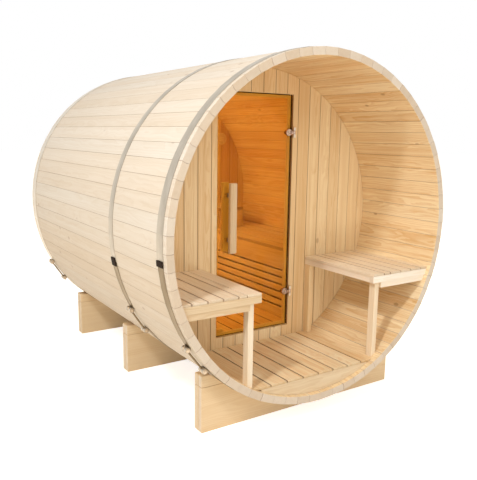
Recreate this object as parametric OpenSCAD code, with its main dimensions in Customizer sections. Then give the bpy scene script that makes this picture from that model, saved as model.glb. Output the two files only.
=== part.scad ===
// Barrel sauna: a stave barrel on three cradles, with an open porch and a glass door.
// The barrel lies along Y with its porch towards -Y; the ground is z = 0.

/* [Barrel] */
// Outer diameter over the corners of the staves
barrel_d = 1800; // [1500:10:2200]
// Length of the staves from rim to rim
barrel_l = 2100; // [1900:10:2800]
// Number of staves in the ring
stave_count = 69; // [56:1:80]
// Thickness of a stave
stave_t = 40; // [30:1:50]
// Gap left at each stave joint
stave_gap = 0.4; // [0.2:0.1:0.8]
// Turn of the first joint from the top, in degrees
stave_turn = 3.2; // [0:0.1:5]

/* [Bands] */
// Width of a steel band
band_w = 60; // [40:1:80]
// Thickness of a steel band
band_t = 2; // [1:0.5:3]
// Rim to the near edge of the end bands
band_inset = 28; // [20:1:60]
// Front rim to the centre of the middle band
band_mid = 620; // [500:5:900]
// Diameter of a tensioner's barrel nut
nut_d = 24; // [16:1:32]
// Diameter of a tensioner's threaded rod
rod_d = 10; // [6:1:12]
// Distance between a tensioner's two nuts
tensioner_span = 150; // [100:5:200]
// Height of the dark pad under a band's joint
pad_h = 46; // [30:1:60]
// Thickness of the pad
pad_t = 5; // [3:0.5:8]

/* [Cradles] */
// Length of a cradle across the barrel
cradle_l = 1284; // [1200:2:1400]
// Height of a cradle's ends
cradle_h = 297; // [220:1:340]
// Thickness of a cradle along the barrel
cradle_t = 71; // [50:1:90]
// Timber left under the barrel
cradle_web = 76; // [50:1:120]
// Rim to the outer face of the end cradles
cradle_inset = 138; // [110:1:180]
// Front rim to the centre of the middle cradle
cradle_mid = 1083; // [900:1:1200]

/* [Walls] */
// Front rim to the outer face of the front wall
porch_depth = 611; // [560:1:800]
// Thickness of the front and rear walls
wall_t = 40; // [36:1:60]
// Rear rim to the outer face of the rear wall
rear_inset = 20; // [5:1:80]
// Diameter of the round vent in the rear wall
vent_d = 100; // [80:1:130]
// Vent centre to the inside of the barrel
vent_in = 93; // [75:1:200]
// Turn of the vent above the right side, in degrees
vent_turn = 35; // [15:1:80]

/* [Floors] */
// Top of the porch deck over the inside of the bottom stave
deck_rise = 101; // [80:1:140]
// Front rim to the ends of the deck boards
deck_setback = 27; // [10:1:60]
// Top of the room's floor over the inside of the bottom stave
floor_rise = 141; // [110:1:160]
// Width of a floor board with its gap
board_w = 103.6; // [80:0.1:130]
// Thickness of a floor board
board_t = 20; // [16:1:28]
// Gap between boards and between slats
board_gap = 7; // [4:0.5:12]
// Thickness of the bearers under the floors
bearer_t = 28; // [20:1:45]

/* [Door] */
// Width of the doorway
door_w = 523; // [480:1:600]
// Top of the doorway below the inside of the top stave
header_h = 144; // [120:1:300]
// Centre of the doorway to the right of the centre line
door_shift = -13; // [-40:1:40]
// Bottom of the doorway over the porch deck
sill_h = 65; // [50:1:90]
// Thickness of the glass
glass_t = 8; // [6:1:10]
// Glass behind the wall's outer face
glass_set = 4; // [2:1:8]
// Running clearance around and behind the glass
run_gap = 6; // [5:0.5:8]
// Width of the stops behind the glass
stop_w = 20; // [16:1:30]
// Width of the dark seal on the stops
seal_w = 12; // [8:1:14]
// Thickness of the seal
seal_t = 4; // [2:0.5:6]
// Height of the hinges from the doorway's ends
hinge_in = 220; // [150:5:320]
// Length of a door handle
handle_l = 402; // [300:1:500]
// Width of a door handle
handle_w = 45; // [30:1:60]
// Thickness of a door handle
handle_t = 28; // [20:1:35]
// Finger room between a handle and the glass
handle_off = 25; // [20:1:40]
// Free edge of the glass to the handle's centre
handle_in = 76; // [60:1:110]
// Middle of the handle over the bottom of the doorway
handle_up = 703; // [600:1:800]
// Distance between a handle's two posts
handle_pitch = 257; // [180:1:280]
// Diameter of a handle's post
handle_post_d = 18; // [12:1:24]

/* [Porch benches] */
// Top of a bench over the deck
bench_rise = 489; // [400:1:520]
// Centre line to the inner edge of a bench
bench_edge = 377; // [360:1:420]
// Front rim to the front of a bench
bench_front = 22; // [10:1:60]
// Width of the slat at the inner edge, with its gap
edge_slat_w = 87; // [60:1:110]
// Width of the narrow second slat, with its gap
narrow_slat_w = 49; // [35:1:60]
// Width of the other slats, with their gap
slat_w = 83.5; // [60:0.5:110]
// Thickness of a slat
slat_t = 21; // [16:1:28]
// Height of the rails under the slats
rail_h = 28; // [20:1:40]
// Thickness of the rails
rail_t = 30; // [20:1:40]
// Height of the second rail at the front
low_rail_h = 32; // [20:1:45]
// Front of the bench to the second rail
low_rail_set = 4; // [0:1:10]
// Width of a leg across the barrel
leg_w = 32; // [24:1:45]
// Depth of a leg along the barrel
leg_d = 44; // [30:1:60]
// Inner edge of the bench to the front leg
leg_in = 32; // [5:1:45]
// Front of the bench to the front leg
leg_set = 18; // [0:1:40]
// Inner edge of the right bench to its rear leg
rear_leg_in = 2; // [0:1:30]

/* [Room] */
// Top of the inside bench over the room's floor
inner_rise = 475; // [400:1:520]
// Centre line to the front of the inside bench
inner_edge = 340; // [290:1:400]
// Width of an inside slat with its gap
inner_slat_w = 95; // [70:1:120]
// Height of the apron under the inside bench's slats
apron_h = 124; // [80:1:150]
// Thickness of the apron and the skirt's slats
apron_t = 20; // [15:1:25]
// Height of a slat in the skirt
skirt_h = 40; // [30:1:60]
// Gap between the skirt's slats
skirt_gap = 9.5; // [6:0.5:15]
// Height of the board at the foot of the skirt
base_h = 70; // [50:1:100]
// Width of a square post under the inside bench
post_w = 42; // [30:1:60]
// Raised head rest to the side of the barrel
rest_gap = 192; // [20:1:260]
// Height of the raised head rest
rest_h = 155; // [100:1:200]
// Depth of the raised head rest
rest_l = 338; // [250:1:400]

/* [Hidden] */
// Fit left where one piece seats on another
fit = 0.3;
// Narrowest last board of a row
least_board = 40;
// Sectors that the ring of staves is split into
sector_count = 6;
// Pads sit on the front and middle bands, a little below the widest line of the barrel
PAD_TURNS = [185, 191];
// Tensioners sit low on the left side
TENSIONER_TURNS = [217, 213.5, 214];
// Depth of a tensioner nut along the barrel, short of the band's edges
nut_margin = 6;
// A hinge: its leaf on the wall, its clamp on the glass, and its pin
leaf_w = 12;
leaf_h = 60;
leaf_t = 4;
clamp_w = 40;
clamp_h = 50;
clamp_t = 14;
knuckle_r = 7;
knuckle_h = 22;
pin_r = 3.5;
pin_play = 0.4;
pivot_out = 14;
inner_disc_r = 13;
inner_disc_t = 8;
arm_t = 10;
knuckle_clear = 0.6;
// Depths of the vent's inner and outer covers, and of its knob
vent_t = 14;
vent_knob_t = 12;
vent_knob_r = 16;
vent_lip = 5;
FACETS = 180;

pitch = 360 / stave_count;
outer_r = barrel_d / 2;
outer_flat = outer_r * cos(pitch / 2);
inner_flat = outer_flat - stave_t;
fit_r = inner_flat - fit;
cradle_r = outer_r + fit;
axis_z = cradle_web + cradle_r;
band_r = outer_r + fit;
BAND_YS = [band_inset + band_w / 2, band_mid, barrel_l - band_inset - band_w / 2];

deck_z = deck_rise - inner_flat;
floor_z = floor_rise - inner_flat;
wall_back = porch_depth + wall_t;
rear_face = barrel_l - rear_inset - wall_t;
room_front = wall_back + fit;
room_back = rear_face - fit;
vent_x = (inner_flat - vent_in) * cos(vent_turn);
vent_z = (inner_flat - vent_in) * sin(vent_turn);

door_l = door_shift - door_w / 2;
door_r = door_shift + door_w / 2;
door_bot = deck_z + sill_h;
door_top = inner_flat - header_h;
glass_front = porch_depth + glass_set;
glass_back = glass_front + glass_t;
seal_front = glass_back + run_gap;
stop_front = seal_front + seal_t;
HINGES = [door_bot + hinge_in, door_top - hinge_in];
pivot_y = porch_depth - pivot_out;
clamp_r = door_r - knuckle_r - run_gap;
clamp_l = clamp_r - clamp_w;
handle_x = door_l + run_gap + handle_in;
handle_z = door_bot + handle_up;

bench_z = deck_z + bench_rise;
rail_z = bench_z - slat_t - fit;
low_rail_z = rail_z - rail_h - fit;
bench_back = porch_depth - fit;
leg_x = bench_edge + leg_in;
leg_front = bench_front + leg_set;

inner_z = floor_z + inner_rise;
apron_z = inner_z - slat_t - fit;
skirt_z = apron_z - apron_h;
skirt_pitch = skirt_h + skirt_gap;
skirt_count = floor((skirt_z - floor_z - base_h - skirt_gap) / skirt_pitch);
post_x = inner_edge + apron_t + fit;
post_span = room_back - room_front - post_w;
POSTS = [for (k = [0 : 2]) room_front + k * post_span / 2];
rest_l_x = inner_edge + fit;
rest_r_x = half_width(inner_z) - rest_gap;
rest_front = room_back - rest_l;

PINE = [0.93, 0.85, 0.72];
PINE_WARM = [0.86, 0.72, 0.52];
PINE_DECK = [0.88, 0.77, 0.6];
STEEL = [0.78, 0.76, 0.71];
CHROME = [0.85, 0.86, 0.87];
DARK = [0.16, 0.12, 0.09];
AMBER = [0.8, 0.45, 0.12, 0.45];

// Half the width of the barrel's inside at a height over its axis
function half_width(z) = sqrt(fit_r * fit_r - z * z);

// Start of each plank in a row laid from one side, the last one cut to what is left
function plank_starts(x0, x1, w) =
  [for (k = [0 : max(0, ceil((x1 - x0 - least_board) / w) - 1)]) x0 + k * w];

// An outline across the barrel, run from one depth behind the front rim to another
module along(y0, y1) {
  translate([0, y1 - barrel_l / 2, axis_z])
    rotate([90, 0, 0])
      linear_extrude(height = y1 - y0)
        children();
}

// A rectangle across the barrel
module rect(x0, x1, z0, z1) {
  translate([x0, z0])
    square([x1 - x0, z1 - z0]);
}

// An outline cut to the inside of the barrel
module in_barrel() {
  intersection() {
    circle(r = fit_r, $fn = FACETS);
    children();
  }
}

// A bar across the barrel, cut to its inside
module bar(x0, x1, y0, y1, z0, z1) {
  along(y0, y1)
    in_barrel()
      rect(x0, x1, z0, z1);
}

// A row of planks laid along the barrel from x0 to x1
module plank_row(x0, x1, w, y0, y1, z, t) {
  starts = plank_starts(x0, x1, w);
  last = len(starts) - 1;
  for (k = [0 : last])
    bar(starts[k], k == last ? x1 : starts[k] + w - board_gap, y0, y1, z - t, z);
}

// A round pin standing along the barrel
module boss(x, z, r, y0, y1) {
  along(y0, y1)
    translate([x, z])
      circle(r = r, $fn = FACETS);
}

// An upright round pin at a depth behind the front rim
module upright(x, y, r, z0, z1) {
  translate([x, y - barrel_l / 2, axis_z + z0])
    cylinder(r = r, h = z1 - z0, $fn = FACETS);
}

// One stave, with its sides on the radial joints
module stave(i) {
  middle = 90 + stave_turn + (i + 0.5) * pitch;
  outer_half = outer_flat * tan(pitch / 2) - stave_gap / 2;
  inner_half = inner_flat * tan(pitch / 2) - stave_gap / 2;
  along(0, barrel_l)
    rotate(middle)
      polygon([
        [inner_flat, -inner_half], [outer_flat, -outer_half],
        [outer_flat, outer_half], [inner_flat, inner_half]
      ]);
}

// First stave of a sector, counted from the top over the left side
function first_stave(sector) = floor(sector * stave_count / sector_count);

// The staves of one sector of the ring
module stave_sector(sector) {
  color(PINE)
    for (i = [first_stave(sector) : first_stave(sector + 1) - 1])
      stave(i);
}

// A steel band around the staves
module band(y) {
  color(STEEL)
    along(y - band_w / 2, y + band_w / 2)
      difference() {
        circle(r = band_r + band_t, $fn = FACETS);
        circle(r = band_r, $fn = FACETS);
      }
}

// Two barrel nuts on each band with the threaded rod that pulls them together
module band_tensioners() {
  seat_r = band_r + band_t + fit + nut_d / 2;
  spread = asin(tensioner_span / 2 / seat_r);
  rod_l = tensioner_span + 2 * nut_d;
  reach = band_w / 2 - nut_margin;
  color(CHROME)
    for (k = [0 : 2]) {
      for (side = [-1, 1])
        along(BAND_YS[k] - reach, BAND_YS[k] + reach)
          rotate(TENSIONER_TURNS[k] + side * spread)
            translate([seat_r, 0])
              circle(d = nut_d, $fn = FACETS);
      translate([0, BAND_YS[k] - barrel_l / 2, axis_z])
        rotate([0, -TENSIONER_TURNS[k], 0])
          translate([seat_r * cos(spread), 0, -rod_l / 2])
            cylinder(d = rod_d, h = rod_l, $fn = FACETS);
    }
}

// The dark pads on the joints of the front and middle bands, one on each side of the barrel
module band_pads() {
  seat_r = band_r + band_t + fit;
  color(DARK)
    for (k = [0 : len(PAD_TURNS) - 1], side = [0, 1])
      mirror([side, 0, 0])
        along(BAND_YS[k] - band_w / 2, BAND_YS[k] + band_w / 2)
          rotate(PAD_TURNS[k])
            translate([seat_r, -pad_h / 2])
              square([pad_t, pad_h]);
}

// A cradle: a timber across the barrel with a round seat cut in its top
module cradle(y) {
  color(PINE)
    along(y, y + cradle_t)
      difference() {
        rect(-cradle_l / 2, cradle_l / 2, -axis_z, cradle_h - axis_z);
        circle(r = cradle_r, $fn = FACETS);
      }
}

module front_wall_left() {
  color(PINE_WARM)
    bar(-outer_r, door_l, porch_depth, wall_back, -outer_r, outer_r);
}

module front_wall_right() {
  color(PINE_WARM)
    bar(door_r, outer_r, porch_depth, wall_back, -outer_r, outer_r);
}

module front_wall_header() {
  color(PINE_WARM)
    bar(door_l + fit, door_r - fit, porch_depth, wall_back, door_top, outer_r);
}

module front_wall_sill() {
  color(PINE_WARM)
    bar(door_l + fit, door_r - fit, porch_depth, wall_back, -outer_r, door_bot);
}

module rear_wall() {
  color(PINE_WARM)
    along(rear_face, rear_face + wall_t)
      circle(r = fit_r, $fn = FACETS);
}

// A turned cover inside and a flat one outside, with a knob on the inner one
module rear_vent() {
  color(PINE_WARM) {
    boss(vent_x, vent_z, vent_d / 2, rear_face - vent_t, rear_face);
    boss(vent_x, vent_z, vent_knob_r, rear_face - vent_t - vent_knob_t, rear_face - vent_t);
    boss(vent_x, vent_z, vent_d / 2 + vent_lip, rear_face + wall_t, rear_face + wall_t + vent_t);
  }
}

// Four strips around the doorway: two full-height sides, with the ends fitted between them
module door_surround(w, y0, y1) {
  bottom = door_bot + fit;
  top = door_top - fit;
  left = door_l + fit;
  right = door_r - fit;
  bar(left, left + w, y0, y1, bottom, top);
  bar(right - w, right, y0, y1, bottom, top);
  bar(left + w + fit, right - w - fit, y0, y1, top - w, top);
  bar(left + w + fit, right - w - fit, y0, y1, bottom, bottom + w);
}

module door_stops() {
  color(PINE)
    door_surround(stop_w, stop_front, wall_back);
}

module door_seal() {
  color(DARK)
    door_surround(seal_w, seal_front, stop_front);
}

// The fixed halves of the hinges: a leaf on the wall, two knuckles and the pin
module hinge_leaves() {
  half = knuckle_h / 2;
  reach = leaf_h / 2;
  color(CHROME)
    for (z = HINGES) {
      bar(door_r + knuckle_r, door_r + knuckle_r + leaf_w, porch_depth - leaf_t, porch_depth,
          z - reach, z + reach);
      for (side = [0, 1])
        mirror_at(z, side) {
          upright(door_r, pivot_y, knuckle_r, z + half + knuckle_clear, z + reach);
          bar(door_r, door_r + 2 * knuckle_r, pivot_y, porch_depth,
              z + half + knuckle_clear, z + reach);
        }
      upright(door_r, pivot_y, pin_r, z - reach, z + reach);
    }
}

// Repeats a piece upside down about a height over the barrel's axis
module mirror_at(z, flip) {
  translate([0, 0, axis_z + z])
    mirror([0, 0, flip])
      translate([0, 0, -axis_z - z])
        children();
}

module door_glass() {
  color(AMBER)
    bar(door_l + run_gap, door_r - run_gap, glass_front, glass_back,
        door_bot + run_gap, door_top - run_gap);
}

// The moving halves of the hinges: a clamp on the glass with its knuckle, and a disc behind
module hinge_clamps() {
  half = knuckle_h / 2;
  color(CHROME)
    for (z = HINGES) {
      difference() {
        union() {
          bar(clamp_l, clamp_r, glass_front - clamp_t, glass_front, z - clamp_h / 2, z + clamp_h / 2);
          bar(clamp_r - arm_t, door_r, pivot_y - arm_t / 2, pivot_y + arm_t / 2, z - half, z + half);
          bar(clamp_r - arm_t, clamp_r, pivot_y - arm_t / 2, glass_front, z - half, z + half);
          upright(door_r, pivot_y, knuckle_r, z - half, z + half);
        }
        upright(door_r, pivot_y, pin_r + pin_play, z - knuckle_h, z + knuckle_h);
      }
      boss(door_r - stop_w - run_gap - inner_disc_r, z, inner_disc_r, glass_back, glass_back + inner_disc_t);
    }
}

// A timber bar that stands off the glass on two posts
module handle(y_bar, y_glass) {
  near = min(y_bar + handle_t, y_glass);
  far = max(y_bar, y_glass);
  color(PINE) {
    bar(handle_x - handle_w / 2, handle_x + handle_w / 2, y_bar, y_bar + handle_t,
        handle_z - handle_l / 2, handle_z + handle_l / 2);
    for (side = [-1, 1])
      boss(handle_x, handle_z + side * handle_pitch / 2, handle_post_d / 2, near, far);
  }
}

module handle_outer() {
  handle(glass_front - handle_off - handle_t, glass_front);
}

module handle_inner() {
  handle(glass_back + handle_off, glass_back);
}

module porch_deck() {
  side = half_width(deck_z);
  color(PINE_DECK)
    plank_row(-side, side, board_w, deck_setback, porch_depth - fit, deck_z, board_t);
}

// A bearer under a floor, cut to the round of the barrel
module bearer(y, z) {
  bar(-outer_r, outer_r, y, y + bearer_t, -outer_r, z - board_t - fit);
}

module deck_fascia() {
  color(PINE_DECK)
    bearer(deck_setback, deck_z);
}

module deck_bearers() {
  last = porch_depth - fit - bearer_t;
  color(PINE_DECK)
    for (y = [(deck_setback + last) / 2, last])
      bearer(y, deck_z);
}

module room_floor() {
  side = half_width(floor_z);
  color(PINE_DECK)
    plank_row(-side, side, board_w, room_front, room_back, floor_z, board_t);
}

module floor_bearers() {
  span = room_back - room_front - bearer_t;
  color(PINE_DECK)
    for (k = [0 : 2])
      bearer(room_front + k * span / 2, floor_z);
}

// The pieces of the right porch bench; the left one mirrors them, with its back on the wall alone
module bench_slats() {
  second = bench_edge + edge_slat_w;
  third = second + narrow_slat_w;
  bar(bench_edge, second - board_gap, bench_front, bench_back, bench_z - slat_t, bench_z);
  bar(second, third - board_gap, bench_front, bench_back, bench_z - slat_t, bench_z);
  plank_row(third, half_width(bench_z), slat_w, bench_front, bench_back, bench_z, slat_t);
}

module bench_frame() {
  back_rail = bench_back - rail_t;
  rail_end = outer_r;
  low_front = bench_front + low_rail_set;
  bar(bench_edge, rail_end, bench_front, bench_front + rail_t, rail_z - rail_h, rail_z);
  bar(bench_edge, bench_edge + rail_t, bench_front + rail_t + fit, bench_back, rail_z - rail_h, rail_z);
  bar(bench_edge + rail_t + fit, rail_end, back_rail, bench_back, rail_z - rail_h, rail_z);
  bar(leg_x + leg_w + fit, rail_end, low_front, low_front + rail_t, low_rail_z - low_rail_h, low_rail_z);
}

module bench_leg(x, y) {
  bar(x, x + leg_w, y, y + leg_d, deck_z + fit, low_rail_z);
}

module left_bench_slats() {
  color(PINE)
    mirror([1, 0, 0])
      bench_slats();
}

module left_bench_frame() {
  color(PINE)
    mirror([1, 0, 0])
      bench_frame();
}

module left_bench_legs() {
  color(PINE)
    mirror([1, 0, 0])
      bench_leg(leg_x, leg_front);
}

module right_bench_slats() {
  color(PINE)
    bench_slats();
}

module right_bench_frame() {
  color(PINE)
    bench_frame();
}

module right_bench_legs() {
  color(PINE) {
    bench_leg(leg_x, leg_front);
    bench_leg(bench_edge + rear_leg_in, bench_back - leg_d);
  }
}

module inner_bench_slats() {
  color(PINE_WARM)
    plank_row(inner_edge, half_width(inner_z), inner_slat_w, room_front, room_back, inner_z, slat_t);
}

// An apron along the front and a cross rail at each post
module inner_bench_frame() {
  color(PINE_WARM) {
    bar(inner_edge, inner_edge + apron_t, room_front, room_back, skirt_z, apron_z);
    for (y = POSTS)
      bar(post_x, outer_r, y, y + post_w, apron_z - rail_h, apron_z);
  }
}

// Open slats under the apron, with a wider board on the floor
module inner_bench_skirt() {
  color(PINE_WARM) {
    for (k = [1 : skirt_count])
      bar(inner_edge, inner_edge + apron_t, room_front, room_back,
          skirt_z - k * skirt_pitch, skirt_z - k * skirt_pitch + skirt_h);
    bar(inner_edge, inner_edge + apron_t, room_front, room_back,
        floor_z + fit, skirt_z - skirt_count * skirt_pitch - skirt_gap);
  }
}

module inner_bench_posts() {
  color(PINE_WARM)
    for (y = POSTS)
      bar(post_x, post_x + post_w, y, y + post_w, floor_z + fit, apron_z - rail_h - fit);
}

// A raised box of boards at the far end of the inside bench
module head_rest() {
  base = inner_z + fit;
  lid = inner_z + rest_h - slat_t;
  behind = rest_front + apron_t + fit;
  color(PINE_WARM) {
    bar(rest_l_x, rest_r_x, rest_front, rest_front + apron_t, base, lid - fit);
    bar(rest_l_x, rest_l_x + apron_t, behind, room_back, base, lid - fit);
    bar(rest_r_x - apron_t, rest_r_x, behind, room_back, base, lid - fit);
    bar(rest_l_x, rest_r_x, rest_front, room_back, lid, lid + slat_t);
  }
}

stave_sector(0);  // staves_upper_left
stave_sector(1);  // staves_left
stave_sector(2);  // staves_lower_left
stave_sector(3);  // staves_lower_right
stave_sector(4);  // staves_right
stave_sector(5);  // staves_upper_right
band(BAND_YS[0]);  // band_front
band(BAND_YS[1]);  // band_middle
band(BAND_YS[2]);  // band_rear
band_tensioners();
band_pads();
cradle(cradle_inset);  // cradle_front
cradle(cradle_mid - cradle_t / 2);  // cradle_middle
cradle(barrel_l - cradle_inset - cradle_t);  // cradle_rear
front_wall_left();
front_wall_right();
front_wall_header();
front_wall_sill();
rear_wall();
rear_vent();
door_stops();
door_seal();
hinge_leaves();
door_glass();
hinge_clamps();
handle_outer();
handle_inner();
porch_deck();
deck_fascia();
deck_bearers();
room_floor();
floor_bearers();
left_bench_slats();
left_bench_frame();
left_bench_legs();
right_bench_slats();
right_bench_frame();
right_bench_legs();
inner_bench_slats();
inner_bench_frame();
inner_bench_skirt();
inner_bench_posts();
head_rest();
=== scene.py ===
"""Looks of the barrel sauna: its staves, boards, straps, fittings and glass, in metres."""
import math
import random

import bmesh
import bpy
from mathutils import Matrix, Vector

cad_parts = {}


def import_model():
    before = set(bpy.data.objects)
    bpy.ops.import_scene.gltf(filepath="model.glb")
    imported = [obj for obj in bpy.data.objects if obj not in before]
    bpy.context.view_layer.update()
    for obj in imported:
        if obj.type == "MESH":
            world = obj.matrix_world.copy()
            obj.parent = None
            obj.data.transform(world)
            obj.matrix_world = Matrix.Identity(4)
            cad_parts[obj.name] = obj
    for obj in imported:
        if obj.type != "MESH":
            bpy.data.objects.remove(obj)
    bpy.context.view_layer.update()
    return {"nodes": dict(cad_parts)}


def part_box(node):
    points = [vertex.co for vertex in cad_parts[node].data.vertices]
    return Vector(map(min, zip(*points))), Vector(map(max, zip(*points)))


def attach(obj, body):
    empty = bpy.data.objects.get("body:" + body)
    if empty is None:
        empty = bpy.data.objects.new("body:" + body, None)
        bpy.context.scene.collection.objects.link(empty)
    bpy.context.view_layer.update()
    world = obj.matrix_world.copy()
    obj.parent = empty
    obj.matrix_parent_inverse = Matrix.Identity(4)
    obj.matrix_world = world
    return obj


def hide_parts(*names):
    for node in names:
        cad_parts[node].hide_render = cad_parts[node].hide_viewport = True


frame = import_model()

# Driving sizes of the barrel, its cradles and its walls
FIT = 0.0003
STAVE_COUNT = 69
STAVE_TURN = math.radians(3.2)
STAVE_T = 0.040
STAVE_GAP = 0.0004
STAVE_EASE = 0.0012
STAVE_BEAD = 0.0025
STAVE_SHORT = 0.0018
STAVE_SUNK = 0.0005
SECTORS = ("upper_left", "left", "lower_left", "lower_right", "right", "upper_right")
STATIONS = ("front", "middle", "rear")
CRADLE_CAP = 0.060
CRADLE_SLOT = 0.0024
CRADLE_EASE = 0.003
CRADLE_JOINT = 0.55
WALL_BOARD = 0.0857
WALL_JOINT = 0.2874
WALL_EASE = 0.0025
WALL_SLIVER = 0.006
VENT_R = 0.050
VENT_T = 0.014

# Driving sizes of the straps, with a value for each station where they differ, and angles in degrees
BAND_T = 0.002
UPPER_STRAP_W = (0.060, 0.051, 0.060)
LOW_STRAP_W = (0.054, 0.060, 0.056)
BEND_SHARES = (-0.06, 0.0, 0.06, 0.5)
PAD_TURNS = (185, 191, 188)
PAD_T = 0.005
PAD_EDGE_T = 0.004
PAD_LIP = 0.0045
PAD_HALF = 0.023
PAD_INSET = 0.001
FRONT_PAD_HALF = 0.0145
FRONT_PAD_REACH = 0.2
PAD_EASE = 0.0012
TENSIONER_TURNS = (217, 213.5, 214)
NUT_R = 0.012
NUT_SPAN = 0.150
NUT_INSET = 0.006
NUT_ROUND = 0.0025
LOCKNUT_T = 0.008
NUT_EASE = 0.0008
LOOP_TURN = math.radians(160)
LOOP_STEPS = 24
LOOP_EASE = 0.0004
ROD_R = 0.005
THREAD_PITCH = 0.003
THREAD_DEPTH = 0.0008

# Driving sizes of the door, the deck and the benches
SEAL_W = 0.0055
CATCH_L = 0.037
CATCH_H = 0.022
KNUCKLE_R = 0.007
KNUCKLE_H = 0.022
KNUCKLE_GAP = 0.0006
KNUCKLE_ROUND = 0.0012
LEAF_H = 0.060
LEAF_T = 0.004
LEAF_EASE = 0.0012
SCREW_R = 0.0035
SCREW_RISE = 0.019
CLAMP_R = 0.021
CLAMP_T = 0.014
CLAMP_GAP = 0.006
ARM_START = 0.010
ARM_T = 0.010
ARM_EASE = 0.0015
ARM_INSET = 0.001
WEB_EASE = 0.001
WEB_SINK = 0.001
BACK_DISC_R = 0.013
BACK_DISC_T = 0.008
BACK_DISC_ROUND = 0.002
BACK_DISC_REACH = 0.026
HANDLE_T = 0.028
HANDLE_ROUND = 0.007
POST_R = 0.009
POST_PITCH = 0.257
POST_FLARE = 0.003
FOOT_T = 0.003
FOOT_EASE = 0.0008
FOOT_JOINT = 0.8
BOARD_T = 0.020
SLAT_T = 0.021
RAIL_T = 0.030
FRONT_LIP = 0.012
LEG_CUT = 0.036
LEG_EASE = 0.003

# How finely round shapes are cut, and the angle and the cosines that sort edges and faces
ROUND_SIDES = 180
SHARP_EDGE = math.radians(25)
SAME_WAY = 0.9
INWARD = 0.7
CUT_END = 0.05

# Colours on screen from 0 to 255, and tints that shaders multiply with
BENCH_GROOVE = (120, 68, 24)
KNOT_COLOUR = (150, 102, 60)
WHITE = (1.0, 1.0, 1.0, 1.0)
BLUSH_TINT = (1.0, 0.955, 0.90, 1.0)
# Cut ends are darker: end grain's own tone with painted shade, which sets the rim off against the lit stave
# faces.
END_TONE_AND_SHADE = (0.78, 0.73, 0.67, 1.0)
# Painted light: the cradles' cut ends are made paler, as they are where they face the lamps.
CRADLE_END_LIGHT = (1.0, 1.10, 1.40, 1.0)

# Studio
FLOOR_REACH = 40.0
FLOOR_COLOUR = (0.84, 0.75, 0.62, 1.0)
FLOOR_LIFT = 0.74
WORLD_COLOUR = (1.0, 0.955, 0.89, 1.0)
WORLD_LIGHT = 0.50
KEY_POWER = 144.0
HIGH_POWER = 79.0
LOW_POWER = 36.0
SIDE_POWER = 24.0
SIDE_COLOUR = (1.0, 0.91, 0.77)
GROUND_POWER = 27.0
BACK_POWER = 130.0
ROOM_POWER = 8.5
ROOM_COLOUR = (1.0, 0.78, 0.46)
CAMERA_PLACE = Vector((-2.0209, -3.3023, 1.4588))
CAMERA_AZIMUTH = math.radians(-33.473)
CAMERA_ELEVATION = math.radians(10.008)
CAMERA_ROLL = math.radians(0.859)
CAMERA_LENS = 45.12
CAMERA_SENSOR = 36.0

X, Y, Z = Vector((1, 0, 0)), Vector((0, 1, 0)), Vector((0, 0, 1))

# Measures read from the frame
rear_low, rear_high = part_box("rear_wall")
AXIS_Z = (rear_low.z + rear_high.z) / 2
FIT_R = (rear_high.z - rear_low.z) / 2
INNER_FLAT = FIT_R + FIT
OUTER_FLAT = INNER_FLAT + STAVE_T
PITCH = 2 * math.pi / STAVE_COUNT
OUTER_EDGE = OUTER_FLAT / math.cos(PITCH / 2)
FRONT_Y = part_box("staves_left")[0].y
BACK_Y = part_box("staves_left")[1].y
DOOR_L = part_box("front_wall_left")[1].x
DOOR_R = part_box("front_wall_right")[0].x
DOOR_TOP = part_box("front_wall_header")[0].z - AXIS_Z
DOOR_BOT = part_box("front_wall_sill")[1].z - AXIS_Z


def linear(red, green, blue):
    """A colour written as 0 to 255 on screen, as the shaders take it."""
    def channel(value):
        share = value / 255
        return share / 12.92 if share <= 0.04045 else ((share + 0.055) / 1.055) ** 2.4
    return (channel(red), channel(green), channel(blue), 1.0)


# Materials
class Graph:
    """Short calls for building the nodes of one material or world."""

    def __init__(self, owner):
        owner.use_nodes = True
        self.owner = owner
        self.tree = owner.node_tree
        self.tree.nodes.clear()

    def add(self, kind, inputs, **settings):
        made = self.tree.nodes.new("ShaderNode" + kind)
        for key, value in settings.items():
            setattr(made, key, value)
        for key, value in inputs.items():
            if isinstance(value, bpy.types.NodeSocket):
                self.tree.links.new(value, made.inputs[key])
            else:
                made.inputs[key].default_value = value
        return made

    def attribute(self, name):
        return self.add("Attribute", {}, attribute_name=name).outputs["Vector"]

    def split(self, vector):
        return self.add("SeparateXYZ", {0: vector}).outputs

    def math(self, operation, first, second=0.0, clamp=False):
        return self.add("Math", {0: first, 1: second}, operation=operation, use_clamp=clamp).outputs[0]

    def stretch(self, vector, scale):
        return self.add("VectorMath", {0: vector, 1: scale}, operation="MULTIPLY").outputs[0]

    def noise(self, vector, detail=2.0, roughness=0.5):
        inputs = {"Vector": vector, "Scale": 1.0, "Detail": detail, "Roughness": roughness}
        return self.add("TexNoise", inputs).outputs[0]

    def span(self, value, low, high, to_low=0.0, to_high=1.0):
        """Maps a range of values to another, held at its ends."""
        return self.add("MapRange", {0: value, 1: low, 2: high, 3: to_low, 4: to_high}).outputs[0]

    def mix(self, share, first, second, blend="MIX"):
        inputs = {0: share, 6: first, 7: second}
        return self.add("Mix", inputs, data_type="RGBA", blend_type=blend).outputs[2]

    def bump(self, height, strength, distance):
        inputs = {"Height": height, "Strength": strength, "Distance": distance}
        return self.add("Bump", inputs).outputs[0]

    def finish(self, inputs):
        shader = self.add("BsdfPrincipled", inputs)
        self.add("OutputMaterial", {"Surface": shader.outputs[0]})
        return self.owner


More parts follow.
